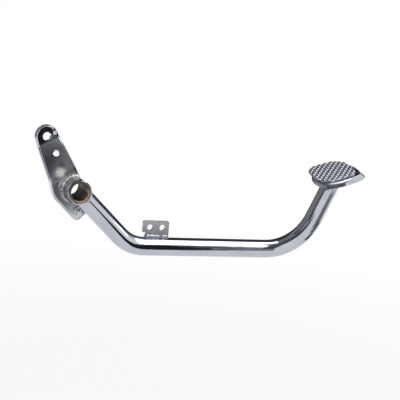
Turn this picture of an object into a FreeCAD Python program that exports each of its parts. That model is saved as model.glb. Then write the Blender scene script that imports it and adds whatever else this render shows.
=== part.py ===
# Rear brake pedal of a small motorbike: a bent tube lever welded to a pivot tube, with a brake rod
# arm behind it and a knurled foot pad at its front end.
# X points forward along the lever's run, Y points inward along the pivot axis, Z points up.
# The origin is the middle of the pivot bore.
import FreeCAD, Part
import math
import os

from FreeCAD import Vector

# Pivot tube and its bush
pivot_length = 36.0
pivot_diameter = 20.0
bush_diameter = 17.0
bush_bore = 15.0
bush_setback = 0.8
pivot_edge = 0.6

# Lever tube, bent in one plane, which meets the pivot tube a margin short of its outer end
lever_diameter = 16.0
lever_wall = 2.0
lever_margin = 1.0
lever_drop = 46.0
lever_slope_angle = 43.0
lever_run_end = 209.5
lever_rise_angle = 66.5
first_bend_radius = 32.0
second_bend_radius = 50.0

# Brake rod arm, a thick plate against the inner side of the lever
arm_thickness = 6.0
arm_clearance = 0.1
arm_length = 48.0
arm_angle = 120.0
arm_set = 12.0
arm_first_bend = 16.0
arm_second_bend = 43.5
arm_bend_radius = 4.0
arm_edge_radius = 1.6
eye_radius = 9.8
eye_hole = 7.5
eye_face_radius = 6.5
eye_face_shift = 3.7
eye_bevel_depth = 3.0
eye_bevel_angle = 38.0
spring_hole = 5.5
spring_hole_reach = 33.0
heel_width = 19.4
heel_depth = 18.0
heel_radius = 17.0
neck_radius = 8.2
tail_length = 22.5
tail_upper = 4.0
tail_corner = 4.0

# Switch tab, a flat plate that stands on the lever's run
tab_start = 60.0
tab_length = 23.5
tab_notch = 2.8
tab_notch_height = 4.6
tab_thickness = 2.5
tab_height = 14.5
tab_corner = 1.5
tab_hole = 5.2
tab_hole_count = 2
tab_hole_inset = 6.4
tab_hole_spacing = 11.2
tab_hole_drop = 5.7

# Foot pad: its tread stands at this height on the lever's axis, pitched nose up and rolled outward
pad_height = 27.0
pad_pitch_angle = 17.0
pad_roll_angle = 12.0
tread_thickness = 2.2
tread_length = 33.0
tread_width = 33.3
tread_bow = 2.5
tread_corner = 10.5
tread_forward = -3.3
tread_inward = 5.0
knurl_pitch = 4.2
knurl_depth = 1.3
knurl_flat = 0.5
cup_depth = 5.4
cup_wall = 1.8
cup_length = 39.5
cup_width = 29.0
cup_rake = 5.0
cup_bow = 3.6
cup_corner = 9.0
cup_shoulder = 2.5
cup_forward = 0.7
cup_inward = 0.8

# Weld beads
weld_leg = 2.6
pad_weld_leg = 1.4
tab_weld_height = 4.0
tab_weld_width = 2.4
tab_weld_crown = 0.5

# Length that carries a cutting solid clear of what it cuts
overcut = 60.0

# Length below which two places count as one, and angle below which two directions do
same_place = 0.01
parallel_angle = 2.0

INWARD = Vector(0, 1, 0)
FORWARD = Vector(1, 0, 0)
SAME_DIRECTION = math.cos(math.radians(parallel_angle))


def direction(angle):
    """Unit vector in the XZ plane, at an angle in degrees from forward towards up."""
    return Vector(math.cos(math.radians(angle)), 0, math.sin(math.radians(angle)))


def line(start, end):
    return Part.LineSegment(start, end).toShape()


def arc(start, middle, end):
    return Part.Arc(start, middle, end).toShape()


def polygon_face(points):
    return Part.Face(Part.makePolygon(points + points[:1]))


def rod(diameter, start, axis, length):
    return Part.makeCylinder(diameter / 2, length, start, axis)


def edge_middle(edge):
    return edge.valueAt((edge.FirstParameter + edge.LastParameter) / 2)


def touches(shape, point):
    return shape.distToShape(Part.Vertex(point))[0] < same_place


def is_along(edge, axis):
    """True for a straight edge parallel to an axis."""
    if not isinstance(edge.Curve, Part.Line):
        return False
    return abs(edge.Curve.Direction.dot(axis)) > SAME_DIRECTION


def is_flat_at(face, point, normal):
    """True for a flat face square to a normal that lies in the plane through a point."""
    if not isinstance(face.Surface, Part.Plane):
        return False
    square = abs(face.Surface.Axis.dot(normal)) > SAME_DIRECTION
    return square and abs((face.CenterOfMass - point).dot(normal)) < same_place


def weld_bead(first, second, leg):
    """Flat-faced weld bead along the seam where two solids meet."""
    joined = first.fuse(second).removeSplitter()
    seam = [edge for edge in joined.Edges
            if touches(first, edge_middle(edge)) and touches(second, edge_middle(edge))]
    return joined.makeChamfer(leg, seam).cut([first, second])


# Lever: the pivot, the two corners of its bends and the point where its axis meets the tread
lever_y = lever_margin + (lever_diameter - pivot_length) / 2
lever_start = Vector(0, lever_y, 0)
slope_direction = direction(-lever_slope_angle)
rise_direction = direction(lever_rise_angle)
first_corner = Vector(lever_drop / math.tan(math.radians(lever_slope_angle)), lever_y, -lever_drop)
second_corner = Vector(lever_run_end, lever_y, -lever_drop)
tread_point = second_corner + rise_direction * ((pad_height + lever_drop) / rise_direction.z)


def bend(corner, before, after, radius):
    """Tangent points and middle of the arc that rounds a corner between two directions."""
    turn = before.getAngle(after)
    reach = radius * math.tan(turn / 2)
    start = corner - before * reach
    end = corner + after * reach
    inside = (after - before).normalize()
    middle = corner + inside * (radius / math.cos(turn / 2) - radius)
    return start, middle, end


def bend_body(diameter, corner, before, after, radius):
    """Solid bend of a bar that rounds a corner between two directions."""
    start = bend(corner, before, after, radius)[0]
    axis = before.cross(after).normalize()
    centre = start + axis.cross(before) * radius
    section = Part.Face(Part.Wire(Part.makeCircle(diameter / 2, start, before)))
    return section.revolve(centre, axis, math.degrees(before.getAngle(after)))


def bar(diameter, start, end):
    return rod(diameter, start, end - start, (end - start).Length)


def lever_body(diameter, end):
    """Solid bar along the lever's centreline, from the pivot axis to a point on its rise."""
    first = bend(first_corner, slope_direction, FORWARD, first_bend_radius)
    second = bend(second_corner, FORWARD, rise_direction, second_bend_radius)
    pieces = [
        bend_body(diameter, first_corner, slope_direction, FORWARD, first_bend_radius),
        bar(diameter, first[2], second[0]),
        bend_body(diameter, second_corner, FORWARD, rise_direction, second_bend_radius),
        bar(diameter, second[2], end),
    ]
    return bar(diameter, lever_start, first[0]).fuse(pieces).removeSplitter()


# Pad axes: forward and inward along the tread, and the tread's own normal
pad_forward = direction(pad_pitch_angle)
pad_slant = FreeCAD.Rotation(pad_forward, pad_roll_angle)
pad_inward = pad_slant.multVec(INWARD)
pad_normal = pad_slant.multVec(direction(pad_pitch_angle + 90))


def pad_point(forward, inward, depth):
    """Point of the foot pad, from the place where the lever's axis meets the tread."""
    return tread_point + pad_forward * forward + pad_inward * inward - pad_normal * depth


def pad_outline(length, width, bow, corner, forward, inward, depth):
    """Four-sided outline with bowed sides and rounded corners, parallel to the tread."""
    half_length = length / 2
    half_width = width / 2
    corners = [
        (forward - half_length, inward - half_width),
        (forward + half_length, inward - half_width),
        (forward + half_length, inward + half_width),
        (forward - half_length, inward + half_width),
    ]
    crowns = [
        (forward, inward - half_width - bow),
        (forward + half_length + bow, inward),
        (forward, inward + half_width + bow),
        (forward - half_length - bow, inward),
    ]
    edges = []
    for index, crown in enumerate(crowns):
        start = pad_point(*corners[index], depth)
        end = pad_point(*corners[(index + 1) % 4], depth)
        edges.append(arc(start, pad_point(*crown, depth), end))
    prism = Part.Face(Part.Wire(edges)).extrude(pad_normal * overcut)
    upright = [edge for edge in prism.Edges if is_along(edge, pad_normal)]
    rounded = prism.makeFillet(corner, upright)
    middle = pad_point(forward, inward, depth)
    base = [face for face in rounded.Faces if is_flat_at(face, middle, pad_normal)]
    return base[0].OuterWire


# Pivot tube, with the bush pressed into it a little short of both ends
pivot_near = INWARD * (-pivot_length / 2)
pivot_bar = rod(pivot_diameter, pivot_near, INWARD, pivot_length)
pivot_rims = [edge for edge in pivot_bar.Edges if not is_along(edge, INWARD)]
pivot_tube = pivot_bar.makeChamfer(pivot_edge, pivot_rims)
pivot_tube = pivot_tube.cut(rod(bush_diameter, pivot_near, INWARD, pivot_length))
bush_near = pivot_near + INWARD * bush_setback
bush_length = pivot_length - 2 * bush_setback
pivot_bush = rod(bush_diameter, bush_near, INWARD, bush_length)
pivot_bush = pivot_bush.cut(rod(bush_bore, bush_near, INWARD, bush_length))

# Lever tube, coped to the pivot tube and cut off along the ceiling of the cup
ceiling_depth = tread_thickness + cup_wall
lever_far = tread_point + rise_direction * lever_diameter
lever_bar = lever_body(lever_diameter, lever_far)
lever_bar = lever_bar.cut(pivot_bar)
ceiling = polygon_face([
    pad_point(-overcut, -overcut, ceiling_depth),
    pad_point(overcut, -overcut, ceiling_depth),
    pad_point(overcut, overcut, ceiling_depth),
    pad_point(-overcut, overcut, ceiling_depth),
])
above_ceiling = ceiling.extrude(pad_normal * overcut)
lever_bar = lever_bar.cut(above_ceiling)
lever_tube = lever_bar.cut(lever_body(lever_diameter - 2 * lever_wall, lever_far))

# Cup under the tread, with a raked front, a rounded shoulder and an open underside
cup_top = tread_thickness
cup_rim = tread_thickness + cup_depth


def cup_outline(inset, rake, depth):
    """Outline of the cup at a depth, drawn in by an inset and drawn back at the front by a rake."""
    return pad_outline(cup_length - 2 * inset - rake, cup_width - 2 * inset, cup_bow, cup_corner - inset,
                       cup_forward - rake / 2, cup_inward, depth)


cup_block = Part.makeLoft([cup_outline(0, cup_rake, cup_top), cup_outline(0, 0, cup_rim)], True, True)
cup_middle = pad_point(cup_forward, cup_inward, cup_top)
top_face = [face for face in cup_block.Faces if is_flat_at(face, cup_middle, pad_normal)][0]
cup_block = cup_block.makeFillet(cup_shoulder, top_face.Edges)
hollow_top = cup_outline(cup_wall, cup_rake, ceiling_depth)
hollow_rim = cup_outline(cup_wall, 0, cup_rim)
cup_hollow = Part.makeLoft([hollow_top, hollow_rim], True, True)
pad_cup = cup_block.cut(cup_hollow)

# Tread plate: two families of V grooves at 45 degrees leave rows of pyramids with small flat tops
tread_outline = pad_outline(tread_length, tread_width, tread_bow, tread_corner, tread_forward, tread_inward,
                            tread_thickness)
tread_plate = Part.Face(tread_outline).extrude(pad_normal * tread_thickness)
tread_reach = (tread_length + tread_width) / 2
groove_count = math.ceil(tread_reach / knurl_pitch)
groove_half = (knurl_pitch - knurl_flat) / 2
grooves = []
for side in (1, -1):
    along = (pad_forward + pad_inward * side).normalize()
    across = along.cross(pad_normal)
    for row in range(-groove_count, groove_count + 1):
        middle = pad_point(tread_forward, tread_inward, 0) + across * (row * knurl_pitch)
        middle = middle - along * tread_reach
        bottom = middle - pad_normal * knurl_depth
        section = polygon_face([middle - across * groove_half, bottom, middle + across * groove_half])
        grooves.append(section.extrude(along * (2 * tread_reach)))
tread_plate = tread_plate.cut(grooves)

# Brake rod arm: outline square to the pivot axis, from the eye round the heel to the tail
arm_front = lever_y + lever_diameter / 2 + arm_clearance
arm_back = arm_front + arm_thickness
eye_front = arm_front + arm_set
eye_back = eye_front + arm_thickness
arm_direction = direction(arm_angle)
arm_side = direction(arm_angle - 90)
eye_centre = arm_direction * arm_length
lean_angle = math.atan2(arm_set, arm_second_bend - arm_first_bend)
lean_normal = INWARD * math.cos(lean_angle) - arm_direction * math.sin(lean_angle)


def outline_normal(pivot_reach, side):
    """Direction square to the line that touches the eye and passes the pivot at a distance."""
    spread = math.degrees(math.acos((pivot_reach - eye_radius) / arm_length))
    return direction(arm_angle + side * spread)


def tail_point(along, across):
    """Point of the tail, measured along the lever's slope and across it."""
    return slope_direction * along + direction(90 - lever_slope_angle) * across


def arm_outline():
    """Outline of the arm in the plane of the pivot's middle; its last corners lie inside the pivot tube."""
    left = outline_normal(heel_width, 1)
    right = outline_normal(neck_radius, -1)
    eye_right = eye_centre + right * eye_radius
    eye_top = eye_centre + arm_direction * eye_radius
    eye_left = eye_centre + left * eye_radius
    down = direction(-lever_slope_angle - 90)
    overlap = left.dot(down)
    share = (heel_width - heel_depth * overlap) / (1 - overlap ** 2)
    heel_corner = left * share + down * (heel_depth - share * overlap)
    heel = bend(heel_corner, (heel_corner - eye_left).normalize(), slope_direction, heel_radius)
    tail = bend(tail_point(tail_length, -heel_depth), slope_direction, down * -1, tail_corner)
    return Part.Wire([
        line(right * neck_radius, eye_right),
        arc(eye_right, eye_top, eye_left),
        line(eye_left, heel[0]),
        arc(*heel),
        line(heel[2], tail[0]),
        arc(*tail),
        line(tail[2], tail_point(tail_length, tail_upper)),
        line(tail_point(tail_length, tail_upper), tail_point(0, tail_upper)),
        line(tail_point(0, tail_upper), right * neck_radius),
    ])


def arm_prism():
    """The arm's outline drawn out along the pivot axis."""
    face = Part.Face(arm_outline())
    face.translate(INWARD * (arm_front - overcut))
    return face.extrude(INWARD * (2 * overcut))


def arm_sheet():
    """Bent strip of plate, wider than the arm: upright at the pivot, leaning inward, upright at the eye."""
    mitre = arm_thickness * math.tan(lean_angle / 2)
    profile = [
        (-overcut, arm_front),
        (arm_first_bend, arm_front),
        (arm_second_bend, eye_front),
        (arm_length + overcut, eye_front),
        (arm_length + overcut, eye_back),
        (arm_second_bend - mitre, eye_back),
        (arm_first_bend - mitre, arm_back),
        (-overcut, arm_back),
    ]
    points = [arm_direction * along + INWARD * inward - arm_side * overcut for along, inward in profile]
    strip = polygon_face(points).extrude(arm_side * (2 * overcut))
    outer = arm_bend_radius + arm_thickness
    for reach, inward, radius in (
        (arm_first_bend, arm_front, outer),
        (arm_second_bend, eye_front, arm_bend_radius),
        (arm_second_bend - mitre, eye_back, outer),
        (arm_first_bend - mitre, arm_back, arm_bend_radius),
    ):
        corner = arm_direction * reach + INWARD * inward
        folds = [edge for edge in strip.Edges if is_along(edge, arm_side) and touches(edge, corner)]
        strip = strip.makeFillet(radius, folds)
    return strip


def eye_bevel():
    """Bevel round the eye's flat face, on the side of the arm that faces the pad."""
    corner = arm_direction * arm_second_bend + INWARD * eye_front
    beyond = arm_direction * overcut
    sideways = arm_side * overcut
    block = polygon_face([corner, corner + sideways, corner + sideways + beyond, corner + beyond])
    block = block.extrude(INWARD * eye_bevel_depth)
    spread = eye_bevel_depth / math.tan(math.radians(eye_bevel_angle))
    face_centre = arm_direction * (arm_length + eye_face_shift) + INWARD * eye_front
    core = Part.makeCone(eye_face_radius, eye_face_radius + spread, eye_bevel_depth, face_centre, INWARD)
    return block.cut(core)


def rim_edges(plate):
    """Edges round the outline of a plate, away from the pivot, where its sides meet its faces."""
    found = []
    for edge in plate.Edges:
        middle = edge_middle(edge)
        if Vector(middle.x, 0, middle.z).Length < pivot_diameter / 2:
            continue
        tilts = []
        for face in plate.ancestorsOfType(edge, Part.Face):
            tilts.append(abs(face.normalAt(*face.Surface.parameter(middle)).dot(INWARD)))
        if min(tilts) < same_place < max(tilts):
            found.append(edge)
    return found


spring_front = arm_front + (spring_hole_reach - arm_first_bend) * math.tan(lean_angle)
spring_centre = arm_direction * spring_hole_reach + INWARD * spring_front
arm_blank = arm_sheet().common(arm_prism())
arm_blank = arm_blank.makeFillet(arm_edge_radius, rim_edges(arm_blank))
brake_rod_arm = arm_blank.cut([
    eye_bevel(),
    pivot_bar,
    rod(eye_hole, eye_centre + pivot_near, INWARD, pivot_length + overcut),
    rod(spring_hole, spring_centre - lean_normal * arm_length, lean_normal, 2 * arm_length),
])

# Switch tab: a plate on the crown of the lever's run, with two holes and a notch at its rear foot
run_top = lever_diameter / 2 - lever_drop
tab_front = lever_y - tab_thickness / 2
tab_top = run_top + tab_height
tab_foot = Vector(tab_start, tab_front, -lever_drop)
switch_tab = Part.makeBox(tab_length, tab_thickness, tab_top + lever_drop, tab_foot)
tab_edges = [edge for edge in switch_tab.Edges if is_along(edge, INWARD)]
top_edges = [edge for edge in tab_edges if edge.CenterOfMass.z > run_top]
switch_tab = switch_tab.makeFillet(tab_corner, top_edges)
notch = Part.makeBox(tab_notch, tab_thickness, overcut,
                     Vector(tab_start, tab_front, run_top + tab_notch_height - overcut))
tab_holes = []
for index in range(tab_hole_count):
    hole_x = tab_start + tab_hole_inset + index * tab_hole_spacing
    hole_start = Vector(hole_x, tab_front, tab_top - tab_hole_drop)
    tab_holes.append(rod(tab_hole, hole_start, INWARD, tab_thickness))
switch_tab = switch_tab.cut([notch, lever_bar] + tab_holes)

# Weld along the outer side of the tab's foot, with a crowned face
weld_start = tab_start + tab_notch
weld_top = Vector(weld_start, tab_front, run_top + tab_weld_height)
weld_toe = Vector(weld_start, tab_front - tab_weld_width, run_top)
weld_normal = Vector(0, -tab_weld_height, tab_weld_width).normalize()
weld_face = (weld_top + weld_toe) / 2 + weld_normal * tab_weld_crown
weld_root = Vector(weld_start, tab_front, -lever_drop)
weld_foot = Vector(weld_start, tab_front - tab_weld_width, -lever_drop)
weld_section = Part.Wire([
    arc(weld_top, weld_face, weld_toe),
    line(weld_toe, weld_foot),
    line(weld_foot, weld_root),
    line(weld_root, weld_top),
])
weld_tab = Part.Face(weld_section).extrude(FORWARD * (tab_length - tab_notch)).cut(lever_bar)

# Cup, notched where the lever passes its rim
pad_cup = pad_cup.cut(lever_bar)

# Weld between the lever and the pivot tube, no wider than the pivot tube is long
lever_stub = rod(lever_diameter, lever_start, slope_direction, lever_drop)
pivot_line = rod(pivot_diameter, INWARD * -overcut, INWARD, 2 * overcut)
pivot_room = rod(2 * lever_drop, pivot_near, INWARD, pivot_length)
weld_lever_pivot = weld_bead(pivot_line, lever_stub, weld_leg).common(pivot_room).cut(brake_rod_arm)


def arm_weld(inward, axis):
    """Flat-faced weld bead round the pivot tube, on a face of the arm."""
    return Part.makeCone(pivot_diameter / 2 + weld_leg, pivot_diameter / 2, weld_leg, INWARD * inward, axis)


# Welds round the pivot tube on both faces of the arm, the front one short of the lever
lever_room = polygon_face([
    tail_point(0, pivot_diameter),
    tail_point(overcut, pivot_diameter),
    tail_point(overcut, -lever_diameter / 2),
    tail_point(0, -lever_diameter / 2),
])
lever_room.translate(INWARD * (arm_back - overcut))
lever_room = lever_room.extrude(INWARD * overcut)
weld_arm_front = arm_weld(arm_front, INWARD * -1)
weld_arm_front = weld_arm_front.common(arm_prism())
weld_arm_front = weld_arm_front.cut([pivot_bar, brake_rod_arm, lever_room, weld_lever_pivot])
weld_arm_back = arm_weld(arm_back, INWARD)
weld_arm_back = weld_arm_back.common(arm_prism()).cut([pivot_bar, brake_rod_arm])

# Weld between the top of the lever and the ceiling of the cup
lever_top = rod(lever_diameter, lever_far - rise_direction * overcut, rise_direction, overcut)
weld_pad = weld_bead(above_ceiling, lever_top, pad_weld_leg).cut(pad_cup)

parts = {
    "lever_tube": lever_tube,
    "pivot_tube": pivot_tube,
    "pivot_bush": pivot_bush,
    "brake_rod_arm": brake_rod_arm,
    "switch_tab": switch_tab,
    "pad_cup": pad_cup,
    "tread_plate": tread_plate,
    "weld_lever_pivot": weld_lever_pivot,
    "weld_arm_front": weld_arm_front,
    "weld_arm_back": weld_arm_back,
    "weld_tab": weld_tab,
    "weld_pad": weld_pad,
}
os.makedirs("parts", exist_ok=True)
for name, shape in parts.items():
    shape.exportStep(f"parts/{name}.step")
    state = "valid" if shape.isValid() else "not valid"
    print(name, len(shape.Solids), "solids", round(shape.Volume), "mm3", state)
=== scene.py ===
# %% [markdown]
# A chromed rear brake pedal of a small motorbike, dressed for a studio picture.
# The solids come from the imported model, in metres, and stay where they are. This lesson gives them
# their finishes, lays the rippled weld beads, and sets the camera, the room and the light.

# %% The frame
import bmesh
import bpy
import math
from mathutils import Matrix, Vector


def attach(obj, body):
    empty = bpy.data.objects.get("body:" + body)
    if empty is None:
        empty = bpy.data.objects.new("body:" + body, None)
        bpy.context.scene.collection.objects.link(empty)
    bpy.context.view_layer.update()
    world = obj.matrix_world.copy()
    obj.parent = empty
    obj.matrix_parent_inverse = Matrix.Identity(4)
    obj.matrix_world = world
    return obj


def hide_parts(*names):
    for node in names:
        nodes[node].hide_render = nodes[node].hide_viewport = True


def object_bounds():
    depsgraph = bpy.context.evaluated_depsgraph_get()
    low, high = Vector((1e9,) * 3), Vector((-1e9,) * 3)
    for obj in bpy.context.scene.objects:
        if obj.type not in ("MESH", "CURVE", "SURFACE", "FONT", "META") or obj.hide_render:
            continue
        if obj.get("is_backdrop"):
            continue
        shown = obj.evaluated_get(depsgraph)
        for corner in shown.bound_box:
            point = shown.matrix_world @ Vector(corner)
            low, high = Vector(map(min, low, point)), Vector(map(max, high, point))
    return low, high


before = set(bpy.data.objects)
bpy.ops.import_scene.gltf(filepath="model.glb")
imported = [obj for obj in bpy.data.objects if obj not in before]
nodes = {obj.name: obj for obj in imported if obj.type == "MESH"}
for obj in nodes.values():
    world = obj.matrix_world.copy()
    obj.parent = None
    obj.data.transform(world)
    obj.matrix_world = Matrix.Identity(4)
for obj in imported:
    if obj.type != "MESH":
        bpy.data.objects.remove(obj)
cad_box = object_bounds()
for name in sorted(nodes):
    print(name, len(nodes[name].data.polygons), "triangles")

# %% [markdown]
# The pedal lies along X, its pivot axis along Y, and Z points up. A few places on it are needed
# again and again: the pivot, the lever's straight lengths, and the slanted axes of the foot pad.
# They could be measured on the meshes, but worked out from the pedal's own sizes they are exact.

# %% Places on the pedal
MM = 0.001
SQUARE = 90.0
ORIGIN = Vector()
INWARD = Vector((0.0, 1.0, 0.0))
PIVOT_RADIUS = 10.0 * MM
LEVER_RADIUS = 8.0 * MM
LEVER_Y = -9.0 * MM
RUN_Z = -46.0 * MM
SECOND_CORNER_X = 209.5 * MM
TREAD_RISE = 73.0 * MM
RISE_ANGLE = 66.5
PAD_PITCH = 17.0
PAD_ROLL = 12.0


def upright(angle):
    """Unit vector in the XZ plane, in degrees from forward towards up."""
    turn = math.radians(angle)
    return Vector((math.cos(turn), 0.0, math.sin(turn)))


up_axis = upright(SQUARE)
rise_axis = upright(RISE_ANGLE)
pad_forward = upright(PAD_PITCH)
pad_turn = Matrix.Rotation(math.radians(PAD_ROLL), 3, pad_forward)
pad_inward = pad_turn @ INWARD
pad_normal = pad_turn @ upright(PAD_PITCH + SQUARE)
tread_point = Vector((SECOND_CORNER_X, LEVER_Y, RUN_Z)) + rise_axis * (TREAD_RISE / rise_axis.z)
print("tread point in mm", [round(value / MM, 2) for value in tread_point])

# %% [markdown]
# The camera stands outside the pedal, a little behind it and above it, and is rolled so that the
# lever's run lies level in the picture. A long lens keeps the tube nearly as thick at the pad as at
# the pivot. A target to aim at would leave the roll open, so one matrix holds the whole pose, from
# three unit vectors.

# %% Camera
camera_place = Vector((-0.2582, -0.9240, 0.1484))
camera_right = Vector((0.9286, -0.3584, 0.0968)).normalized()
camera_ahead = Vector((0.36908, 0.91675, -0.15272)).normalized()
camera_up = camera_right.cross(camera_ahead).normalized()
camera_right = camera_ahead.cross(camera_up)
camera_data = bpy.data.cameras.new("camera")
camera_data.sensor_width = 36.0
camera_data.lens = 103.5
camera = bpy.data.objects.new("camera", camera_data)
camera.matrix_world = Matrix((
    (camera_right.x, camera_up.x, -camera_ahead.x, camera_place.x),
    (camera_right.y, camera_up.y, -camera_ahead.y, camera_place.y),
    (camera_right.z, camera_up.z, -camera_ahead.z, camera_place.z),
    (0.0, 0.0, 0.0, 1.0),
))
bpy.context.collection.objects.link(camera)
bpy.context.scene.camera = camera
bpy.context.scene.view_settings.view_transform = "Standard"
print("camera", [round(value, 3) for value in camera_place], "lens", camera_data.lens)

# %% [markdown]
# Every finish below is a small tree of nodes. The node editor could make it by hand, but a script can
# be read and run again. These helpers keep the trees short to write: each adds a node, sets its
# numbers or links its inputs, and hands back the output that is used next.

# %% Node helpers
def new_material(name):
    """A material with an empty tree, and that tree."""
    material = bpy.data.materials.new(name)
    material.use_nodes = True
    material.node_tree.nodes.clear()
    return material, material.node_tree


def feed(tree, socket, value):
    """Links an output to a socket, or sets the socket's own number."""
    if isinstance(value, bpy.types.NodeSocket):
        tree.links.new(value, socket)
    else:
        socket.default_value = value


def add(tree, kind, settings=None, inputs=None):
    """A new node, with its settings by name and its inputs by name or by number."""
    node = tree.nodes.new(kind)
    for key, value in (settings or {}).items():
        setattr(node, key, value)
    for key, value in (inputs or {}).items():
        feed(tree, node.inputs[key], value)
    return node


def maths(tree, operation, *values):
    """One step of arithmetic."""
    node = add(tree, "ShaderNodeMath", {"operation": operation}, dict(enumerate(values)))
    return node.outputs[0]


def object_place(tree):
    """The place on a piece, in metres from the pedal's origin."""
    return add(tree, "ShaderNodeTexCoord").outputs["Object"]


def coat(tree, shader):
    """Ends a material's tree in a shader."""
    add(tree, "ShaderNodeOutputMaterial", None, {"Surface": shader.outputs[0]})


# %% [markdown]
# Wear, dirt and rust keep to certain places, so most trees need a mask: a number from none to one
# that depends on the place. Distances give a mask its outline, and noise gives it ragged edges. A
# painted picture could do the same, but the pieces would have to be unwrapped for it.

# %% Mask helpers
def spread(tree, value, low, high, first, last):
    """Stretches a value from one range to another and holds it there."""
    return add(tree, "ShaderNodeMapRange", None, {0: value, 1: low, 2: high, 3: first, 4: last}).outputs[0]


def blend(tree, share, first, second):
    """A mix of two colours."""
    node = add(tree, "ShaderNodeMix", {"data_type": "RGBA"}, {0: share, 6: first, 7: second})
    return node.outputs[2]


def cloud(tree, place, scale, detail):
    """Soft noise; its scale counts the clouds to a metre."""
    settings = {"Vector": place, "Scale": scale, "Detail": detail}
    return add(tree, "ShaderNodeTexNoise", None, settings).outputs["Fac"]


def along(tree, place, axis, start=ORIGIN):
    """Distance in metres along an axis, from a point."""
    dot = add(tree, "ShaderNodeVectorMath", {"operation": "DOT_PRODUCT"}, {0: place, 1: tuple(axis)})
    return maths(tree, "SUBTRACT", dot.outputs["Value"], start.dot(axis))


def distance(tree, place, point):
    """Distance in metres from a point."""
    node = add(tree, "ShaderNodeVectorMath", {"operation": "DISTANCE"}, {0: place, 1: tuple(point)})
    return node.outputs["Value"]


def near(tree, place, point, reach):
    """A mask: one within a quarter of a reach from a point, none beyond the reach."""
    return spread(tree, distance(tree, place, point), 0.25 * reach, reach, 1.0, 0.0)


# %% [markdown]
# Chrome shows little colour of its own: it shows the room. So the floor is white to the camera and to
# mirrors, and grey paint to soft light. A stronger lamp could whiten it too, but it would also light
# the pedal, so Light Path tells the rays apart instead.

# %% Floor
WHITE = (1.0, 1.0, 1.0, 1.0)
FLOOR_GREY = (0.86, 0.88, 0.91, 1.0)
WHITENESS_BELOW = 0.88
DIM_REACH = 0.3
BRIGHT_REACH = 0.8
floor_height = -0.20
floor_reach = 6.0
room_middle = Vector((0.12, -0.01, -0.03))


def seen_directly(tree):
    """One for rays from the camera, from a mirror or through glass, none for soft light."""
    rays = add(tree, "ShaderNodeLightPath").outputs
    mirrored = maths(tree, "MAXIMUM", rays["Is Camera Ray"], rays["Is Glossy Ray"])
    return maths(tree, "MAXIMUM", mirrored, rays["Is Transmission Ray"])


def panel(name, rows, material):
    """A sheet from rows of points, each row as long as the others."""
    width = len(rows[0])
    faces = []
    for row in range(len(rows) - 1):
        for column in range(width - 1):
            corner = row * width + column
            faces.append((corner, corner + 1, corner + width + 1, corner + width))
    mesh = bpy.data.meshes.new(name)
    mesh.from_pydata([point for row in rows for point in row], [], faces)
    mesh.materials.append(material)
    sheet = bpy.data.objects.new(name, mesh)
    bpy.context.collection.objects.link(sheet)
    sheet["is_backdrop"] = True
    return sheet


floor_paint, tree = new_material("floor_paint")
middle_gap = distance(tree, object_place(tree), room_middle)
whiteness = spread(tree, middle_gap, DIM_REACH, BRIGHT_REACH, WHITENESS_BELOW, 1.0)
share = maths(tree, "MULTIPLY", seen_directly(tree), whiteness)
paint = add(tree, "ShaderNodeBsdfDiffuse", None, {"Color": FLOOR_GREY})
glow = add(tree, "ShaderNodeEmission", None, {"Color": WHITE, "Strength": 1.0})
coat(tree, add(tree, "ShaderNodeMixShader", None, {0: share, 1: paint.outputs[0], 2: glow.outputs[0]}))
floor_ends = (-floor_reach, floor_reach)
panel("floor", [[(x, y, floor_height) for x in floor_ends] for y in floor_ends], floor_paint)
print("floor at", floor_height)

# %% [markdown]
# The world beyond the floor works the same way: white where it is seen or mirrored, and a dim, cool
# fill where it only lights. A photographed studio could stand there too, but an even world is plain
# and needs no picture.

# %% World
FILL_BLUE = (0.86, 0.91, 1.0, 1.0)
FILL_STRENGTH = 0.45
world = bpy.data.worlds.new("room")
world.use_nodes = True
tree = world.node_tree
tree.nodes.clear()
fill = add(tree, "ShaderNodeBackground", None, {"Color": FILL_BLUE, "Strength": FILL_STRENGTH})
backdrop = add(tree, "ShaderNodeBackground", None, {"Color": WHITE, "Strength": 1.0})
share = seen_directly(tree)
mixed = add(tree, "ShaderNodeMixShader", None, {0: share, 1: fill.outputs[0], 2: backdrop.outputs[0]})
add(tree, "ShaderNodeOutputWorld", None, {"Surface": mixed.outputs[0]})
bpy.context.scene.world = world
print("white world, fill", FILL_STRENGTH)

# %% [markdown]
# One large soft lamp hangs above the front of the lever. It is long and narrow along the view, so the
# run mirrors it as an even white band that stops short where each bend begins. A lamp's power spreads
# over its area, so it is worked out from the brightness that the chrome should show.

# %% Softbox
SOFTBOX_RADIANCE = 2.2
softbox_data = bpy.data.lights.new("softbox", "AREA")
softbox_data.shape = "RECTANGLE"
softbox_data.size = 0.52
softbox_data.size_y = 1.42
softbox_data.energy = SOFTBOX_RADIANCE * math.pi * softbox_data.size * softbox_data.size_y
softbox = bpy.data.objects.new("softbox", softbox_data)
softbox.location = (0.60, -0.59, 0.85)
bpy.context.collection.objects.link(softbox)
print("softbox power", round(softbox_data.energy, 2), "W")

# %% [markdown]
# Dark boards draw the black lines that a bright tube needs, and white cards draw its lights. Solid
# boards would shade the floor and stand in the picture. These hang in the mirrors alone: the camera,
# the shadows and the soft light pass through them, and each glows by itself, whatever lights it.

# %% Board helpers
BOARD_STEP = 5.0
hung = []


def board_tone(name, colour, strength=1.0):
    """An even tone, the same all over a board, whatever light falls on it."""
    material, tree = new_material(name)
    coat(tree, add(tree, "ShaderNodeEmission", None, {"Color": (*colour, 1.0), "Strength": strength}))
    return material


def wall_row(reach, turns, height):
    """A row of points round the room's middle; turns in degrees from +X towards +Y."""
    row = []
    for turn in turns:
        step = Vector((math.cos(math.radians(turn)), math.sin(math.radians(turn)), 0.0)) * reach
        row.append((room_middle.x + step.x, room_middle.y + step.y, height))
    return row


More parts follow.
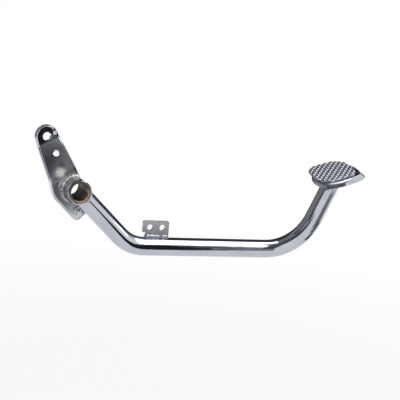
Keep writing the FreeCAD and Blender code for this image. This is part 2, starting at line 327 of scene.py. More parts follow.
def hang(name, rows, material):
    """A sheet that only mirrors see."""
    sheet = panel(name, rows, material)
    sheet.visible_camera = False
    sheet.visible_diffuse = False
    sheet.visible_shadow = False
    sheet.visible_transmission = False
    hung.append(name)


def board(name, turns, profile, material):
    """A board round the room's middle, from a profile of distances and heights."""
    start, end = turns
    steps = 1 + round(abs(end - start) / BOARD_STEP)
    row_turns = [start + (end - start) * step / steps for step in range(steps + 1)]
    hang(name, [wall_row(reach, row_turns, height) for reach, height in profile], material)


def flag(name, y, lows, tops, material):
    """An upright card across the view, from its lower and upper corners in X and Z."""
    hang(name, [[(x, y, z) for x, z in lows], [(x, y, z) for x, z in tops]], material)


def card(name, x_reach, y, z_reach, material):
    """A square-cornered flag, from its reach in X and in Z."""
    hang(name, [[(x, y, z) for x in x_reach] for z in z_reach], material)


def shelf(name, x_reach, y_reach, height, material):
    """A level card, from its reach in X and in Y."""
    hang(name, [[(x, y, height) for x in x_reach] for y in y_reach], material)


# %% [markdown]
# A straight tube mirrors a far board as one even line from end to end, so far boards draw the long
# lines. Two in front make the dark band under the run's white one, and two on the floor at the right
# the dark line down the rise. The walls behind darken the tops of the tubes and the side of the slope.
# The arm mirrors two boards in front and the ceiling, and the rise mirrors the walls on the left. The
# knurl sees a darker board below the ceiling. Distances are in metres.

# %% Far boards
black_tone = board_tone("black_tone", (0.018, 0.019, 0.022))
slate_tone = board_tone("slate_tone", (0.175, 0.162, 0.162))
side_tone = board_tone("side_tone", (0.230, 0.215, 0.215))
back_tone = board_tone("back_tone", (0.050, 0.050, 0.060))
grey_tone = board_tone("grey_tone", (0.270, 0.258, 0.262))
dusk_tone = board_tone("dusk_tone", (0.095, 0.092, 0.098))
haze_tone = board_tone("haze_tone", (0.260, 0.250, 0.250))

FRONT_REACH = 2.50
HAZE_HEIGHT = 0.90
CEILING_Z = 0.87
TREAD_BOARD_Z = 0.84
foot = floor_height + MM
back_low = (0.90, 0.10)
corner_profile = [back_low, (0.95, 0.54)]
left_profile = [(1.20, foot), (1.20, 0.42), (0.28, 0.95)]
board("front_board", (-74.0, -68.1), [(FRONT_REACH, 0.15), (FRONT_REACH, 1.40)], black_tone)
board("slim_board", (-68.1, -63.2), [(0.38, foot), (FRONT_REACH, foot), (FRONT_REACH, 1.35)], slate_tone)
board("side_card", (-45.0, -14.0), [(0.56, foot), (1.00, foot)], side_tone)
board("side_board", (-63.2, -45.0), [(0.60, foot), (1.60, foot)], side_tone)
board("haze_board", (-102.0, -81.0), [(FRONT_REACH, HAZE_HEIGHT), (FRONT_REACH, 1.70)], haze_tone)
board("low_board", (-102.0, -79.0), [(FRONT_REACH, 0.40), (FRONT_REACH, HAZE_HEIGHT)], dusk_tone)
board("right_board", (-4.0, 13.0), corner_profile + [(0.95, 0.98)], back_tone)
board("corner_board", (13.0, 24.0), corner_profile, back_tone)
board("back_board", (24.0, 100.0), [back_low, (0.95, 0.42), (0.12, 0.95)], back_tone)
board("back_foot", (54.0, 100.0), [(0.58, foot), back_low], back_tone)
board("left_board", (100.0, 190.0), left_profile, grey_tone)
board("left_edge", (190.0, 215.0), left_profile, dusk_tone)
shelf("ceiling_board", (-1.4, 0.34), (-1.55, 0.5), CEILING_Z, grey_tone)
shelf("tread_board", (-0.46, -0.13), (-0.26, 0.08), TREAD_BOARD_Z, dusk_tone)
print("far boards:", len(hung))

# %% [markdown]
# A near card is mirrored in another place by every piece, so it can change one piece and leave the
# next one alone. Far boards could not do that. These stand a forearm's length in front: they bring
# black into the eye, the run and the first bend, and slate into the arm's tail and the weld.

# %% Cards before the run and the arm
FLAG_Y = -0.235
FLAG_GAP = 2.0 * MM
TAIL_FOOT = -0.066
RUN_FOOT = -0.170
card("eye_flag", (0.012, 0.062), FLAG_Y, (-0.012, 0.040), black_tone)
flag("arm_flag", FLAG_Y - FLAG_GAP, [(-0.05, TAIL_FOOT), (0.03, TAIL_FOOT), (0.064, TAIL_FOOT)],
     [(-0.05, 0.085), (0.03, 0.085), (0.10, 0.020)], slate_tone)
flag("run_flag", FLAG_Y, [(0.096, RUN_FOOT), (0.148, RUN_FOOT), (0.21, RUN_FOOT)],
     [(0.096, 0.036), (0.148, 0.008), (0.21, -0.025)], black_tone)
print("boards and cards:", len(hung))

# %% [markdown]
# The arm's plate is dark in one part and grey in another. A flat plate mirrors only a small part of
# the room, so one card covers it, and the change of tone lies on that card: two soft steps, one
# slanted and one level. Two cards could do it too, but their border would be sharp. A white card
# closer to the pedal lights the weld.

# %% Cards before the plate
PLATE_DARK = (0.062, 0.062, 0.066, 1.0)
PLATE_GREY = (0.270, 0.262, 0.262, 1.0)
STEP_HALF = 3.0 * MM
SLANT_ANGLE = -26.2
TOP_SHARE = 0.45
WELD_FLAG_Y = -0.165
slant_point = Vector((-0.0532, 0.0, 0.182))
top_point = Vector((0.0, 0.0, 0.192))
white_tone = board_tone("white_tone", WHITE[:3])

arm_tone, tree = new_material("arm_tone")
place = object_place(tree)
slant = along(tree, place, upright(SLANT_ANGLE), slant_point)
height = along(tree, place, up_axis, top_point)
share = maths(tree, "MAXIMUM", spread(tree, slant, -STEP_HALF, STEP_HALF, 0.0, 1.0),
              spread(tree, height, -STEP_HALF, STEP_HALF, 0.0, TOP_SHARE))
colour = blend(tree, share, PLATE_DARK, PLATE_GREY)
coat(tree, add(tree, "ShaderNodeEmission", None, {"Color": colour, "Strength": 1.0}))
card("plate_flag", (-0.085, -0.030), FLAG_Y, (0.150, 0.214), arm_tone)
card("weld_flag", (-0.09, 0.03), WELD_FLAG_Y, (0.165, 0.30), white_tone)
print("boards and cards:", len(hung))

# %% [markdown]
# In the second bend the run's dark band turns up and leaves a light band outside it. Farther cards
# would show in the run as well, so two upright cards stand close to the tube and draw that border:
# white below it, dark above it. Three level cards lie low beside the bend, a white one and two dark
# ones, and finish its outside and the foot of the rise.

# %% Cards before the second bend
BEND_FLAG_Y = -0.030
BEND_FOOT = -0.060
BEND_TOP = 0.004
SHADE_Z = BEND_FOOT + 2.0 * MM
bend_border = [(0.1885, -0.0420), (0.1932, -0.0335), (0.1970, -0.0290), (0.2000, -0.0262), (0.2040, -0.0238),
               (0.2100, -0.0120)]
glow_tops = bend_border + [(0.216, BEND_TOP), (0.224, BEND_TOP)]
line_tops = [(0.1760, -0.0415), (0.1835, -0.0330), (0.1880, -0.0210), (0.1925, BEND_TOP), (0.1970, BEND_TOP),
             (0.2000, -0.0060), (0.2040, -0.0120), (0.2100, -0.0040)]
flag("bend_glow", BEND_FLAG_Y, [(x, BEND_FOOT) for x, z in glow_tops], glow_tops, white_tone)
flag("bend_line", BEND_FLAG_Y, [(0.1760, -0.0450), (0.1835, -0.0435)] + bend_border, line_tops, dusk_tone)
shelf("bend_card", (0.236, 0.300), (-0.230, -0.042), BEND_FOOT, white_tone)
shelf("bend_shade", (0.244, 0.270), (-0.040, 0.000), SHADE_Z, dusk_tone)
shelf("rise_shade", (0.270, 0.318), (-0.082, -0.022), SHADE_Z, dusk_tone)
print("boards and cards:", len(hung))

# %% [markdown]
# The cup shows bright lines round its wall. Another lamp could draw them, but it would light
# everything near it, while a card is only mirrored. Three level cards hang above the pad, one as
# bright as the lamp and two white ones, and a small upright card stands before the wall.

# %% Cards round the cup
CUP_CARD_Z = 0.060
CUP_FOOT_Y = -0.033
bright_tone = board_tone("bright_tone", WHITE[:3], SOFTBOX_RADIANCE)
shelf("cup_glow", (0.207, 0.257), (-0.130, -0.028), CUP_CARD_Z, bright_tone)
shelf("cup_card", (0.257, 0.300), (-0.090, -0.020), CUP_CARD_Z, white_tone)
shelf("tip_card", (0.300, 0.420), (-0.060, 0.040), CUP_CARD_Z, white_tone)
card("cup_foot", (0.248, 0.270), CUP_FOOT_Y, (0.001, 0.017), white_tone)
print("boards and cards:", len(hung))

# %% [markdown]
# Chrome plate is never quite even: polishing leaves slow waves in the steel, hands leave smears, and
# age leaves a few pits. Slow noise bends the reflections, middling noise dulls them in patches, and
# small cells make the pits. Relief this fine would need far too many faces, so it is a bump.

# %% Chrome
RUST = (0.115, 0.055, 0.028, 1.0)
PIT_BROWN = (0.10, 0.09, 0.085, 1.0)
# Painted light: the pale white below paints a sheen, and the dark grey after it paints shade.
SHEEN_WHITE_PAINT = (0.90, 0.89, 0.87, 1.0)
SHADE_PAINT_GREY = (0.10, 0.10, 0.11, 1.0)
DULLING = 0.90
MATT = 0.6
SMEARS_A_METRE = 42.0
WAVES_A_METRE = 48.0
GRAINS_A_METRE = 1600.0
PITS_A_METRE = 300.0
PIT_FIELDS_A_METRE = 75.0
GRAIN_ROUGHNESS = 0.03
PIT_DEPTH = 2.0e-5
GRAIN_HEIGHT = 1.5e-6


def plate_pits(tree, place):
    """A mask of small pits, which lie close together in some places and are missing in others."""
    cells = add(tree, "ShaderNodeTexVoronoi", None, {"Vector": place, "Scale": PITS_A_METRE})
    middles = spread(tree, cells.outputs["Distance"], 0.06, 0.12, 1.0, 0.0)
    fields = spread(tree, cloud(tree, place, PIT_FIELDS_A_METRE, 2.0), 0.56, 0.66, 0.0, 1.0)
    return maths(tree, "MULTIPLY", middles, fields)


def metal(tree, colour, metallic, roughness, height):
    """Ends a tree in a metal; the height of its relief is in metres."""
    bump = add(tree, "ShaderNodeBump", None, {"Strength": 1.0, "Distance": 1.0, "Height": height})
    coat(tree, add(tree, "ShaderNodeBsdfPrincipled", None, {
        "Base Color": colour, "Metallic": metallic, "Roughness": roughness, "Normal": bump.outputs[0]}))


def chrome(name, tint, gloss, haze, wobble, dirt_and_shade=None, dirt_and_shade_colour=RUST, painted_sheen=None, painted_shade_mask=None):
    """Chrome plate; gloss and haze are its least and most roughness, wobble its waves in metres.
    Three functions may draw masks: the first paints a pale, matt sheen as a painted reflection, the
    second paints shade darker, and the third lays a colour over the plate: rust, dirt in the tread's
    grooves, and painted shade on the cup."""
    material, tree = new_material(name)
    place = object_place(tree)
    smears = cloud(tree, place, SMEARS_A_METRE, 4.0)
    waves = cloud(tree, place, WAVES_A_METRE, 1.0)
    grain = cloud(tree, place, GRAINS_A_METRE, 2.0)
    pits = plate_pits(tree, place)
    dull = [DULLING * value for value in tint] + [1.0]
    colour = blend(tree, spread(tree, smears, 0.35, 0.65, 0.0, 1.0), (*tint, 1.0), dull)
    colour = blend(tree, pits, colour, PIT_BROWN)
    roughness = maths(tree, "ADD", spread(tree, smears, 0.35, 0.70, gloss, haze),
                      maths(tree, "MULTIPLY", grain, GRAIN_ROUGHNESS))
    metallic = 1.0
    if painted_sheen:
        mask = painted_sheen(tree, place)
        colour = blend(tree, mask, colour, SHEEN_WHITE_PAINT)
        roughness = maths(tree, "MAXIMUM", roughness, maths(tree, "MULTIPLY", mask, MATT))
    if painted_shade_mask:
        colour = blend(tree, painted_shade_mask(tree, place), colour, SHADE_PAINT_GREY)
    if dirt_and_shade:
        mask = dirt_and_shade(tree, place)
        colour = blend(tree, mask, colour, dirt_and_shade_colour)
        roughness = maths(tree, "MAXIMUM", roughness, maths(tree, "MULTIPLY", mask, MATT))
        metallic = spread(tree, mask, 0.2, 1.0, 1.0, 0.25)
    height = maths(tree, "ADD", maths(tree, "MULTIPLY", waves, wobble),
                   maths(tree, "MULTIPLY", grain, GRAIN_HEIGHT))
    height = maths(tree, "SUBTRACT", height, maths(tree, "MULTIPLY", pits, PIT_DEPTH))
    metal(tree, colour, metallic, roughness, height)
    return material


def paint_node(name, material):
    """Gives a piece of the solid model one finish."""
    slots = nodes[name].data.materials
    slots.clear()
    slots.append(material)


# %% [markdown]
# The lever is a bent tube with a bright, slightly blue plate. Water stays in the corner where it meets
# the arm's tail and the pivot, so rust starts there. A ball-shaped mask with ragged noise is enough,
# because so small a corner needs no outline of its own.

# %% Lever
PALE_BLUE = (0.53, 0.56, 0.62)
LEVER_WAVES = 1.6e-4
rust_corner = Vector((5.0, -1.5, -16.0)) * MM
rust_reach = 7.5 * MM


def crevice_rust(tree, place):
    """Rust in the corner between the lever, the arm's tail and the pivot tube."""
    patch = spread(tree, cloud(tree, place, 420.0, 4.0), 0.40, 0.62, 0.0, 1.0)
    return maths(tree, "MULTIPLY", near(tree, place, rust_corner, rust_reach), patch)


paint_node("lever_tube", chrome("lever_finish", PALE_BLUE, 0.05, 0.13, LEVER_WAVES, crevice_rust))
print("lever plated, rust within", rust_reach / MM, "mm of its corner")

# %% [markdown]
# The arm is stamped plate. A patch above the weld and a strip along the bend are painted pale as a
# painted reflection, and made matt. The edge towards the lever and one spot are painted darker as
# painted shade. A second material could carry each mark, but masks along the arm's own two axes fade
# softly into the chrome.

# %% Brake rod arm
ARM_ANGLE = 117.0
ARM_WAVES = 1.0e-4
BEND_SHEEN = 0.45
SPOT_SHARE = 0.55
arm_along = upright(ARM_ANGLE)
arm_across = upright(ARM_ANGLE - SQUARE)
sheen_middle = Vector((-13.0, 0.3, 12.6)) * MM
sheen_reach = 7.5 * MM
spot_middle = Vector((-12.0, 2.2, 19.6)) * MM
spot_reach = 3.6 * MM


def arm_painted_sheen(tree, place):
    """Painted reflection on the arm, pale and matt: a patch above the weld, and less of it along the bend.
    """
    # Painted reflection: this patch and the strip along the bend are painted pale and made matt.
    patch = near(tree, place, sheen_middle, sheen_reach)
    lengthwise = along(tree, place, arm_along)
    bend = maths(tree, "MULTIPLY", spread(tree, lengthwise, 10.0 * MM, 12.5 * MM, 0.0, BEND_SHEEN),
                 spread(tree, lengthwise, 15.0 * MM, 17.5 * MM, 1.0, 0.0))
    cloudy = spread(tree, cloud(tree, place, 130.0, 3.0), 0.36, 0.62, 0.7, 1.0)
    return maths(tree, "MULTIPLY", maths(tree, "MAXIMUM", patch, bend), cloudy)


def arm_painted_shade(tree, place):
    """Painted shade along the arm's edge towards the lever, and a painted dark spot above the pale patch."""
    # Painted shade: the edge towards the lever and one spot are painted darker.
    edge = spread(tree, along(tree, place, arm_across), 5.6 * MM, 6.2 * MM, 0.0, 1.0)
    lengthwise = along(tree, place, arm_along)
    ends = maths(tree, "MULTIPLY", spread(tree, lengthwise, 8.0 * MM, 13.0 * MM, 0.0, 1.0),
                 spread(tree, lengthwise, 36.0 * MM, 41.0 * MM, 1.0, 0.0))
    spot = maths(tree, "MULTIPLY", near(tree, place, spot_middle, spot_reach), SPOT_SHARE)
    return maths(tree, "MAXIMUM", maths(tree, "MULTIPLY", edge, ends), spot)


paint_node("brake_rod_arm", chrome("arm_finish", PALE_BLUE, 0.06, 0.14, ARM_WAVES, crevice_rust, RUST,
                                   arm_painted_sheen, arm_painted_shade))
print("arm plated, its matt patch reaches", sheen_reach / MM, "mm from its middle")

# %% [markdown]
# The pivot tube was turned before it was plated, so its end carries fine rings round the bore. Cut
# as geometry they would be far too many, so they are a bump: a sine of the distance from the axis.

# %% Pivot tube
PIVOT_GREY = (0.38, 0.39, 0.42, 1.0)
PIVOT_WORN = (0.26, 0.24, 0.23, 1.0)
RADIANS_A_METRE = 16000.0
RING_HEIGHT = 2.0e-6
SMEAR_HEIGHT = 4.0e-5


def axis_distance(tree, place):
    """Distance in metres from the pivot's axis."""
    flat = add(tree, "ShaderNodeVectorMath", {"operation": "MULTIPLY"}, {0: place, 1: (1.0, 0.0, 1.0)})
    length = add(tree, "ShaderNodeVectorMath", {"operation": "LENGTH"}, {0: flat.outputs[0]})
    return length.outputs["Value"]


turned, tree = new_material("pivot_finish")
place = object_place(tree)
smears = cloud(tree, place, 160.0, 4.0)
rings = maths(tree, "SINE", maths(tree, "MULTIPLY", axis_distance(tree, place), RADIANS_A_METRE))
colour = blend(tree, spread(tree, smears, 0.42, 0.66, 0.0, 1.0), PIVOT_GREY, PIVOT_WORN)
height = maths(tree, "ADD", maths(tree, "MULTIPLY", rings, RING_HEIGHT),
               maths(tree, "MULTIPLY", smears, SMEAR_HEIGHT))
metal(tree, colour, 1.0, spread(tree, smears, 0.35, 0.7, 0.10, 0.24), height)
paint_node("pivot_tube", turned)
print("pivot turned, rings", round(2.0 * math.pi / RADIANS_A_METRE / MM, 2), "mm apart")

# %% [markdown]
# The bush inside is bare bronze with streaks along the bore: golden near the mouth, and painted darker
# and browner deeper in as painted shade in the bore. A painted golden highlight lies on the lower right
# of its rim. These could be three materials, but the depth from its outer face and one direction tell
# them apart, so one tree is enough.

# %% Pivot bush
# Painted shade: the brown below paints the bore darker deeper in.
BORE_SHADE_BROWN = (0.070, 0.042, 0.026, 1.0)
BRONZE = (0.55, 0.35, 0.18, 1.0)
RIM_GREY = (0.26, 0.22, 0.19, 1.0)
RIM_GLINT_GOLD = (0.98, 0.68, 0.33, 1.0)
STREAK_HEIGHT = 2.5e-5
GLINT_MATT_SHARE = 0.5
GLINT_ANGLE = -52.0
bush_face = -17.2 * MM
bore_shade_depth = -5.0 * MM

bronze, tree = new_material("bush_finish")
place = object_place(tree)
long_place = add(tree, "ShaderNodeMapping", None, {"Vector": place, "Scale": (1.0, 0.15, 1.0)}).outputs[0]
streaks = cloud(tree, long_place, 700.0, 3.0)
inward = along(tree, place, INWARD)
mouth = spread(tree, inward, bush_face, bore_shade_depth, 1.0, 0.0)
unshaded_mouth = maths(tree, "MULTIPLY", mouth, spread(tree, streaks, 0.30, 0.60, 0.35, 1.0))
rim = spread(tree, inward, bush_face + 0.1 * MM, bush_face + 0.6 * MM, 1.0, 0.0)
# Painted highlight: the lower right of the rim is painted golden, rough and less metallic.
bright = spread(tree, along(tree, place, upright(GLINT_ANGLE)), 2.0 * MM, 6.5 * MM, 0.0, 1.0)
colour = blend(tree, rim, blend(tree, unshaded_mouth, BORE_SHADE_BROWN, BRONZE), blend(tree, bright, RIM_GREY, RIM_GLINT_GOLD))
glint_matt = maths(tree, "MULTIPLY", maths(tree, "MULTIPLY", rim, bright), GLINT_MATT_SHARE)
metallic = maths(tree, "SUBTRACT", spread(tree, unshaded_mouth, 0.0, 0.6, 0.55, 1.0), glint_matt)
roughness = maths(tree, "MAXIMUM", spread(tree, unshaded_mouth, 0.0, 1.0, 0.50, 0.24), glint_matt)
metal(tree, colour, metallic, roughness, maths(tree, "MULTIPLY", streaks, STREAK_HEIGHT))
paint_node("pivot_bush", bronze)
print("bush bronzed, rubbed to", round((bore_shade_depth - bush_face) / MM, 1), "mm deep")

# %% [markdown]
# The switch tab is stamped from thin sheet and was plated unpolished, so it looks satin: its grain
# runs along the strip it was cut from. A picture of brushed steel would need unwrapping, so a noise
# stretched along X draws that grain. Near its weld the sheet is darker.

# %% Switch tab
SATIN_LIGHT = (0.80, 0.82, 0.86, 1.0)
SATIN_DARK = (0.68, 0.70, 0.74, 1.0)
TAB_FOOT_GREY = (0.46, 0.47, 0.50, 1.0)
SATIN_HEIGHT = 6.0e-6
tab_foot_z = -34.5 * MM
tab_clear_z = -24.5 * MM

satin, tree = new_material("tab_finish")
place = object_place(tree)
strip = add(tree, "ShaderNodeMapping", None, {"Vector": place, "Scale": (0.12, 1.0, 1.0)}).outputs[0]
grain = cloud(tree, strip, 1500.0, 3.0)
smears = cloud(tree, place, 140.0, 3.0)
colour = blend(tree, spread(tree, smears, 0.35, 0.65, 0.0, 1.0), SATIN_LIGHT, SATIN_DARK)
lower = spread(tree, along(tree, place, up_axis), tab_foot_z, tab_clear_z, 1.0, 0.0)
colour = blend(tree, lower, colour, TAB_FOOT_GREY)
roughness = spread(tree, grain, 0.3, 0.7, 0.42, 0.54)
metal(tree, colour, 1.0, roughness, maths(tree, "MULTIPLY", grain, SATIN_HEIGHT))
paint_node("switch_tab", satin)
print("tab left satin")

# %% [markdown]
# A boot keeps the tips of the knurl bright and presses dirt into the grooves. The dirt could be
# painted on, but how deep a point lies below the tread's top is its distance along the pad's normal,
# so that distance is the mask, and it fits every pyramid.

# %% Tread plate
TREAD_BLUE = (0.90, 0.92, 1.00)
TREAD_WAVES = 5.0e-5
TREAD_DIRT = (0.045, 0.046, 0.052, 1.0)
dirt_full = -1.25 * MM
dirt_none = -0.85 * MM


def groove_dirt(tree, place):
    """Dirt in the grooves of the knurl."""
    deep = spread(tree, along(tree, place, pad_normal, tread_point), dirt_full, dirt_none, 1.0, 0.0)
    patch = spread(tree, cloud(tree, place, 300.0, 3.0), 0.30, 0.65, 0.55, 1.0)
    return maths(tree, "MULTIPLY", deep, patch)


tread_finish = chrome("tread_finish", TREAD_BLUE, 0.08, 0.20, TREAD_WAVES, groove_dirt, TREAD_DIRT)
paint_node("tread_plate", tread_finish)
print("tread plated, dirt below", dirt_none / MM, "mm")

# %% [markdown]
# The cup under the tread is as bright as the lever, except for painted shade: darker under the tread's
# rear overhang, and a painted dark reflection low on the rear of its outer wall. Both are bands along
# the pad's own axes, so distances draw them, and no mask has to be painted by hand.

# %% Pad cup
# Painted shade: this near-black colour is laid under the tread's overhang and low on the outer wall.
CUP_SHADE_PAINT = (0.024, 0.023, 0.024, 1.0)
CUP_WAVES = 1.2e-4
REAR_SHARE = 0.62
SKIRT_SHARE = 0.95


def cup_painted_shade(tree, place):
    """Painted shade under the tread's rear, and a painted dark reflection low on the rear of the cup's outer
    wall.
    """
    forward = along(tree, place, pad_forward, tread_point)
    rear = spread(tree, forward, -18.0 * MM, -3.0 * MM, REAR_SHARE, 0.0)
    low = spread(tree, along(tree, place, pad_normal, tread_point), -4.2 * MM, -3.2 * MM, 1.0, 0.0)
    outer = spread(tree, along(tree, place, pad_inward, tread_point), -13.5 * MM, -11.5 * MM, 1.0, 0.0)
    skirt = maths(tree, "MULTIPLY", maths(tree, "MULTIPLY", low, outer),
                  spread(tree, forward, -2.6 * MM, -0.8 * MM, SKIRT_SHARE, 0.0))
    patch = spread(tree, cloud(tree, place, 240.0, 3.0), 0.25, 0.65, 0.7, 1.0)
    return maths(tree, "MULTIPLY", maths(tree, "MAXIMUM", rear, skirt), patch)


paint_node("pad_cup", chrome("cup_finish", PALE_BLUE, 0.05, 0.12, CUP_WAVES, cup_painted_shade, CUP_SHADE_PAINT))
print("cup plated, painted_shade under the overhang")

# %% [markdown]
# A weld bead is a row of small pools that froze one over the other. It could be sculpted, but it
# follows a rule, so Geometry Nodes sweep a round bar along the seam: its thickness swells and pinches
# once in every pool, and slow noise makes the welder's hand uneven. One tree serves all five seams,
# with its sizes as inputs.

# %% Weld bead inputs
bead_tree = bpy.data.node_groups.new("weld_bead", "GeometryNodeTree")
bead_tree.interface.new_socket("Geometry", in_out="INPUT", socket_type="NodeSocketGeometry")
bead_inputs = {}
for label in ("Bead Radius", "Pool Length", "Ripple Depth", "Unevenness", "End Taper", "Seed", "Finish"):
    kind = "NodeSocketMaterial" if label == "Finish" else "NodeSocketFloat"
    bead_inputs[label] = bead_tree.interface.new_socket(label, in_out="INPUT", socket_type=kind).identifier
bead_tree.interface.new_socket("Geometry", in_out="OUTPUT", socket_type="NodeSocketGeometry")
print("weld bead inputs:", ", ".join(bead_inputs))

# %% [markdown]
# The seam is cut into ten steps to a pool. How far each step lies from the crest of its pool pinches
# the bar there, and the two ends of an open seam taper off. A fixed profile would leave the bar
# smooth. The swept bar is made real and given its finish, so it leaves the tree as a plain mesh.

# %% Weld bead tree
STEPS_A_POOL = 10.0
# A pool is thickest at half of this share of its length.
POOL_CREST = 0.85
HAND_SCALE = 330.0
RING_POINTS = 20


def bead_maths(operation, *values):
    """One step of arithmetic in the bead's tree."""
    return maths(bead_tree, operation, *values)


given = add(bead_tree, "NodeGroupInput").outputs
path = add(bead_tree, "GeometryNodeMeshToCurve", None, {"Mesh": given["Geometry"]})
path = add(bead_tree, "GeometryNodeResampleCurve", {"mode": "LENGTH"}, {
    "Curve": path.outputs[0], "Length": bead_maths("DIVIDE", given["Pool Length"], STEPS_A_POOL)})
travel = add(bead_tree, "GeometryNodeSplineParameter").outputs["Length"]
total = add(bead_tree, "GeometryNodeSplineLength").outputs["Length"]
in_pool = bead_maths("FRACT", bead_maths("DIVIDE", travel, given["Pool Length"]))
from_crest = bead_maths("SUBTRACT", bead_maths("MULTIPLY", in_pool, 2.0), POOL_CREST)
pinch = bead_maths("MULTIPLY", bead_maths("MULTIPLY", from_crest, from_crest), given["Ripple Depth"])
spot = add(bead_tree, "GeometryNodeInputPosition").outputs[0]
hand = add(bead_tree, "ShaderNodeTexNoise", {"noise_dimensions": "4D"}, {
    "Vector": spot, "W": given["Seed"], "Scale": HAND_SCALE, "Detail": 1.5}).outputs["Fac"]
sway = bead_maths("MULTIPLY", bead_maths("SUBTRACT", hand, 0.5), given["Unevenness"])
to_end = bead_maths("MINIMUM", travel, bead_maths("SUBTRACT", total, travel))
end_scale = bead_maths("SUBTRACT", 1.0, given["End Taper"])
ending = spread(bead_tree, to_end, 0.0, given["Bead Radius"], end_scale, 1.0)
swell = bead_maths("ADD", bead_maths("SUBTRACT", 1.0, pinch), sway)
scale = bead_maths("MULTIPLY", bead_maths("MULTIPLY", swell, ending), given["Bead Radius"])
ring = add(bead_tree, "GeometryNodeCurvePrimitiveCircle", None, {"Resolution": RING_POINTS, "Radius": 1.0})
bar = add(bead_tree, "GeometryNodeCurveToMesh", None, {
    "Curve": path.outputs[0], "Profile Curve": ring.outputs[0], "Scale": scale, "Fill Caps": True})
smooth = add(bead_tree, "GeometryNodeSetShadeSmooth", None, {"Geometry": bar.outputs[0]})
real = add(bead_tree, "GeometryNodeRealizeInstances", None, {"Geometry": smooth.outputs[0]})
coated = add(bead_tree, "GeometryNodeSetMaterial", None, {
    "Geometry": real.outputs[0], "Material": given["Finish"]})
add(bead_tree, "NodeGroupOutput", None, {"Geometry": coated.outputs[0]})
print("weld bead tree with", len(bead_tree.nodes), "nodes")

# %% [markdown]
# The beads were plated with the rest but never polished, so they are rougher than the tubes. The
# arm's front bead is bright above, and its lower half is painted darker as painted shade; the tab's
# is plain. A finish could be written for each, but the chrome of the lever does for all of them with
# other numbers.

# %% Weld finishes
WELD_GREY = (0.62, 0.63, 0.66)
BRIGHT_GREY = (0.84, 0.84, 0.85)
RAW_GREY = (0.46, 0.47, 0.50)
WELD_WAVES = 1.0e-4
DARK_SHARE = 0.75
dark_full = 0.5 * MM
dark_none = 5.5 * MM


def dark_half(tree, place):
    """Painted shade on the lower half of the arm's front bead."""
    # Painted shade: the lower half of the bead is painted darker.
    low = spread(tree, along(tree, place, up_axis), dark_full, dark_none, DARK_SHARE, 0.0)
    return maths(tree, "MULTIPLY", low, spread(tree, cloud(tree, place, 300.0, 3.0), 0.35, 0.60, 0.5, 1.0))


weld_finish = chrome("weld_finish", WELD_GREY, 0.22, 0.40, WELD_WAVES, crevice_rust)
half_shaded_weld = chrome("half_shaded_weld_finish", BRIGHT_GREY, 0.26, 0.42, WELD_WAVES, painted_shade_mask=dark_half)
raw_finish = chrome("raw_weld_finish", RAW_GREY, 0.26, 0.46, WELD_WAVES)
print("three weld finishes")

# %% [markdown]
# Each seam is a line of points worked out from the pieces that meet there. The tree runs once on each
# line, and its result is kept as a plain mesh that stands for the solid model's weld. The modifier
# could stay live, but a plain mesh can have its normals turned outward and just one finish.

# %% Laying a bead
OPEN_END_TAPER = 0.7


def lay_bead(node, finish, points, closed, **sizes):
    """Sweeps a bead along points and lets it stand for a weld of the solid model."""
    edges = [(index, index + 1) for index in range(len(points) - 1)]
    if closed:
        edges.append((len(points) - 1, 0))
    seam_mesh = bpy.data.meshes.new(node + "_seam")
    seam_mesh.from_pydata(points, edges, [])
    seam = bpy.data.objects.new(node + "_seam", seam_mesh)
    bpy.context.collection.objects.link(seam)
    sweep = seam.modifiers.new("sweep", "NODES")
    sweep.node_group = bead_tree
    for label, value in sizes.items():
        sweep[bead_inputs[label.replace("_", " ")]] = value
    sweep[bead_inputs["End Taper"]] = 0.0 if closed else OPEN_END_TAPER
    sweep[bead_inputs["Finish"]] = finish
    swept = seam.evaluated_get(bpy.context.evaluated_depsgraph_get())
    mesh = bpy.data.meshes.new_from_object(swept)
    bpy.data.objects.remove(seam)
    shell = bmesh.new()
    shell.from_mesh(mesh)
    bmesh.ops.recalc_face_normals(shell, faces=shell.faces)
    shell.to_mesh(mesh)
    shell.free()
    mesh.materials.clear()
    mesh.materials.append(finish)
    bead = bpy.data.objects.new(node + "_bead", mesh)
    bpy.context.collection.objects.link(bead)
    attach(bead, "root")
    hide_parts(node)
    print(node, len(mesh.polygons), "faces")


# %% [markdown]
# The arm sits on the pivot tube and is welded to it on both faces. These seams are arcs round the
# tube: the front one thick and uneven, and the back one, out of sight, longer and neater. They could
# be drawn by hand, but a turn and a radius put every point evenly above the tube's skin.

# %% Arm beads
ARM_FRONT = -0.9 * MM
ARM_BACK = 5.1 * MM
ARC_STEPS = 48


def arm_seam(inward, outward, first, last):
    """Points round the pivot tube, beside a face of the arm; first and last are turns in degrees."""
    points = []
    for step in range(ARC_STEPS + 1):
        ray = upright(first + (last - first) * step / ARC_STEPS)
        points.append(ray * (PIVOT_RADIUS + outward) + INWARD * inward)
    return points


lay_bead("weld_arm_front", half_shaded_weld, arm_seam(ARM_FRONT - 0.3 * MM, 0.9 * MM, 72.0, 262.0), False,
         Bead_Radius=2.3 * MM, Pool_Length=4.4 * MM, Ripple_Depth=0.06, Unevenness=0.70, Seed=3.0)
lay_bead("weld_arm_back", weld_finish, arm_seam(ARM_BACK + 0.5 * MM, 0.5 * MM, 68.0, 339.0), False,
         Bead_Radius=1.7 * MM, Pool_Length=3.2 * MM, Ripple_Depth=0.12, Unevenness=0.45, Seed=8.0)

# %% [markdown]
# The tab stands on top of the run, so its seam is a straight line along the outer foot of the sheet.
# Two points would draw it too, but in short steps it is made like the other seams.

# %% Tab bead
TAB_SEAM_STEPS = 32
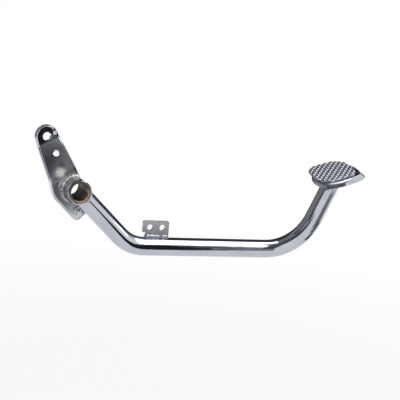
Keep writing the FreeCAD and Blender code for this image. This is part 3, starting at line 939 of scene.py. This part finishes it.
# This seam's sizes are in millimetres.
TAB_SEAM_START = 61.2
TAB_SEAM_LENGTH = 22.1
TAB_SEAM_Y = -10.5
TAB_SEAM_Z = -36.9
tab_foot = []
for step in range(TAB_SEAM_STEPS + 1):
    forward = TAB_SEAM_START + TAB_SEAM_LENGTH * step / TAB_SEAM_STEPS
    tab_foot.append(Vector((forward, TAB_SEAM_Y, TAB_SEAM_Z)) * MM)
lay_bead("weld_tab", raw_finish, tab_foot, False,
         Bead_Radius=1.9 * MM, Pool_Length=4.6 * MM, Ripple_Depth=0.14, Unevenness=0.65, Seed=5.0)

# %% [markdown]
# Where the lever meets the pivot tube, two round tubes cross, and their seam is a saddle. It could be
# traced on the meshes, but it has a formula: for each turn round the lever, the reach to the pivot
# tube's skin is the third side of a right-angled triangle.

# %% Saddle bead
RING_STEPS = 64
SLOPE_ANGLE = -43.0
SADDLE_LIFT = 0.25 * MM
slope_axis = upright(SLOPE_ANGLE)
slope_across = upright(SLOPE_ANGLE + SQUARE)
saddle = []
for step in range(RING_STEPS):
    turn = 2.0 * math.pi * step / RING_STEPS
    rim = INWARD * math.cos(turn) + slope_across * math.sin(turn)
    reach = math.sqrt(PIVOT_RADIUS ** 2 - (LEVER_RADIUS * math.sin(turn)) ** 2)
    point = INWARD * LEVER_Y + slope_axis * reach + rim * LEVER_RADIUS
    away = Vector((point.x, 0.0, point.z)).normalized()
    saddle.append(point + (away + rim) * SADDLE_LIFT)
lay_bead("weld_lever_pivot", weld_finish, saddle, True,
         Bead_Radius=0.95 * MM, Pool_Length=1.8 * MM, Ripple_Depth=0.18, Unevenness=0.35, Seed=11.0)

# %% [markdown]
# The cup lies slanted on the end of the rise, so the seam below it is a slanted ring. Each point of a
# ring round the lever slides along the lever until it meets the cup's ceiling. Cutting the meshes
# with each other would find it too, but this formula is shorter.

# %% Collar bead
CEILING_DEPTH = 4.0 * MM
COLLAR_LIFT = 0.3 * MM
rise_across = upright(RISE_ANGLE + SQUARE)
ceiling_point = tread_point - pad_normal * CEILING_DEPTH
collar = []
for step in range(RING_STEPS):
    turn = 2.0 * math.pi * step / RING_STEPS
    rim = INWARD * math.cos(turn) + rise_across * math.sin(turn)
    point = tread_point + rim * LEVER_RADIUS
    drop = (ceiling_point - point).dot(pad_normal) / rise_axis.dot(pad_normal)
    collar.append(point + rise_axis * drop + (rim - pad_normal) * COLLAR_LIFT)
lay_bead("weld_pad", weld_finish, collar, True,
         Bead_Radius=1.0 * MM, Pool_Length=1.8 * MM, Ripple_Depth=0.16, Unevenness=0.35, Seed=17.0)

# %% [markdown]
# The beads stand for the plain welds of the solid model, and the dressed pedal should be no larger
# than that model. Looking alone could not tell, so both boxes are measured and kept, and what the box
# grew by is printed.

# %% Box growth
new_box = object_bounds()
growth = [abs(a - b) / MM for old, new in zip(cad_box, new_box) for a, b in zip(old, new)]
print("box grew by", [round(value, 3) for value in growth])
